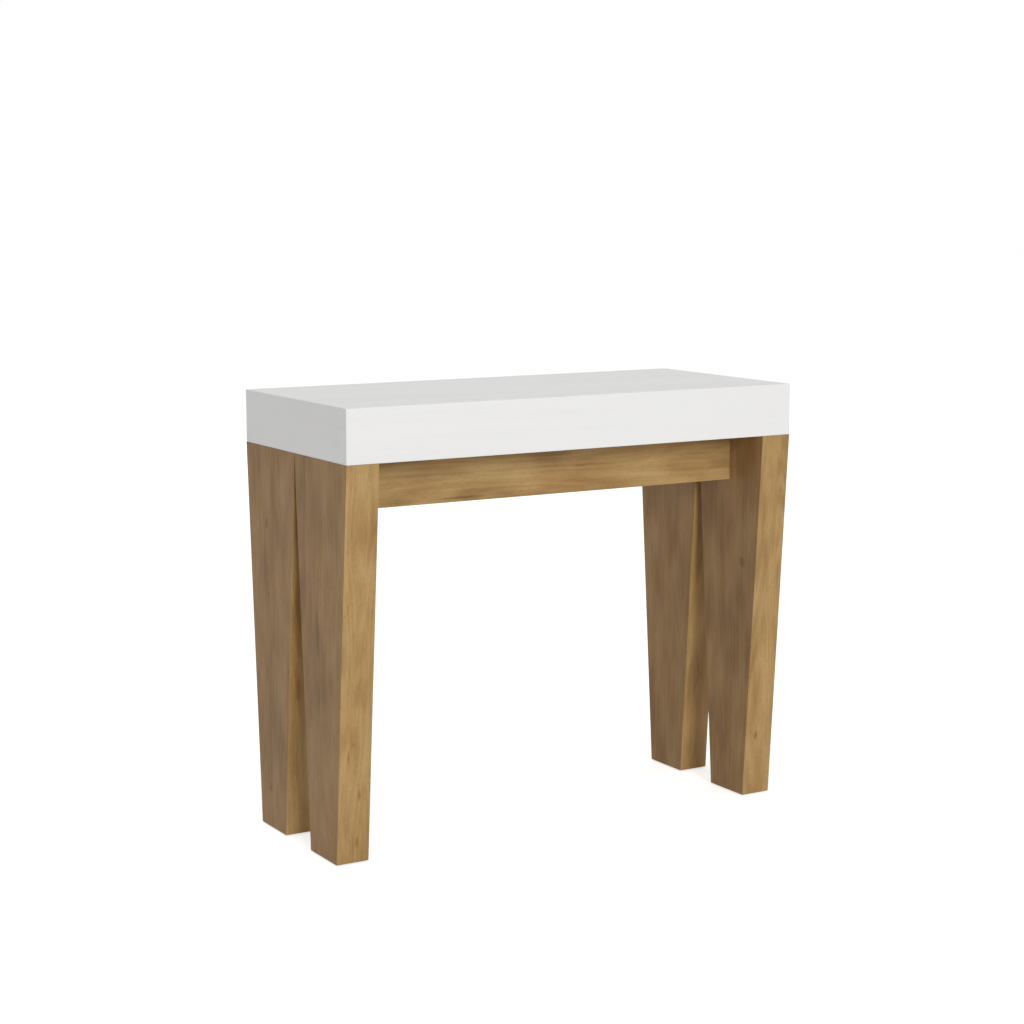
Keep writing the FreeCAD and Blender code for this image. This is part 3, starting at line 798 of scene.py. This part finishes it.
# Studio. A plain pale floor in a white surround. A wide front light stands far off to the left,
# a soft light hangs overhead, and two weak ones fill in the right end and the rear.
# The camera stands where the photograph was taken from.
FLOOR_REACH = 30
FLOOR_COLOUR = (0.82, 0.82, 0.82, 1)
FLOOR_LIFT = (0.62, 0.62, 0.62, 1)
BLACK = (0, 0, 0, 1)
WHITE = (1, 1, 1, 1)
SURROUND_LIGHT = 0.455
LIGHTS = {
    "front_light": dict(power=850, size=4.2, place=(-2.44, -13.2, 4.6), aim=(0, 0, 0.55)),
    "overhead_light": dict(power=14, size=2.6, place=(0, 0, 3.6), aim=(0, 0, 0.7)),
    "right_light": dict(power=85, size=1.8, place=(7.8, 0.7, 1.0), aim=(0, 0, 0.5)),
    "rear_light": dict(power=85, size=1.8, place=(0.9, 7.8, 1.0), aim=(0, 0, 0.5)),
}
CAMERA_PLACE = (-1.9967, -3.3383, 1.1245)
CAMERA_TURN = 0.5345
CAMERA_TILT = -0.1099
CAMERA_LENS = 76.436
CAMERA_SHIFT = -0.0801


def seen_directly(start):
    """1 for rays from the camera and in mirror-like or clear surfaces, and 0 for light on the object."""
    rays = {name: start.node("ShaderNodeLightPath", {}, {}, f"Is {name} Ray")
            for name in ("Camera", "Glossy", "Transmission")}
    return rays["Camera"] + rays["Glossy"] + rays["Transmission"]


bm = bmesh.new()
bmesh.ops.create_grid(bm, x_segments=1, y_segments=1, size=FLOOR_REACH)
floor = placed("floor", as_mesh(bm, "floor"))
paper, start = new_finish("floor_paper")
lift = mixed(seen_directly(start), BLACK, FLOOR_LIFT)
shader = start.node("ShaderNodeBsdfPrincipled", {}, {
    "Base Color": FLOOR_COLOUR, "Roughness": 1.0, "Specular IOR Level": 0.0,
    "Emission Color": lift, "Emission Strength": 1.0})
start.node("ShaderNodeOutputMaterial", {}, {"Surface": shader})
floor.data.materials.append(paper)

world = bpy.data.worlds.new("surround")
world.use_nodes = True
world.node_tree.nodes.clear()
bpy.context.scene.world = world
start = Socket(world.node_tree)
lit = start.node("ShaderNodeBackground", {}, {"Color": WHITE, "Strength": SURROUND_LIGHT})
shown = start.node("ShaderNodeBackground", {}, {"Color": WHITE, "Strength": 1.0})
both = start.node("ShaderNodeMixShader", {}, {0: seen_directly(start), 1: lit, 2: shown})
start.node("ShaderNodeOutputWorld", {}, {"Surface": both})

for name, light in LIGHTS.items():
    lamp = bpy.data.lights.new(name, "AREA")
    lamp.energy = light["power"]
    lamp.size = light["size"]
    aim = Vector(light["aim"]) - Vector(light["place"])
    stand = placed(name, lamp)
    stand.location = light["place"]
    stand.rotation_euler = aim.to_track_quat("-Z", "Y").to_euler()

lens = bpy.data.cameras.new("camera")
lens.lens = CAMERA_LENS
lens.shift_y = CAMERA_SHIFT
camera = placed("camera", lens)
camera.location = CAMERA_PLACE
camera.rotation_euler = (math.pi / 2 + CAMERA_TILT, 0, -CAMERA_TURN)
bpy.context.scene.camera = camera
bpy.context.scene.view_settings.view_transform = "Standard"
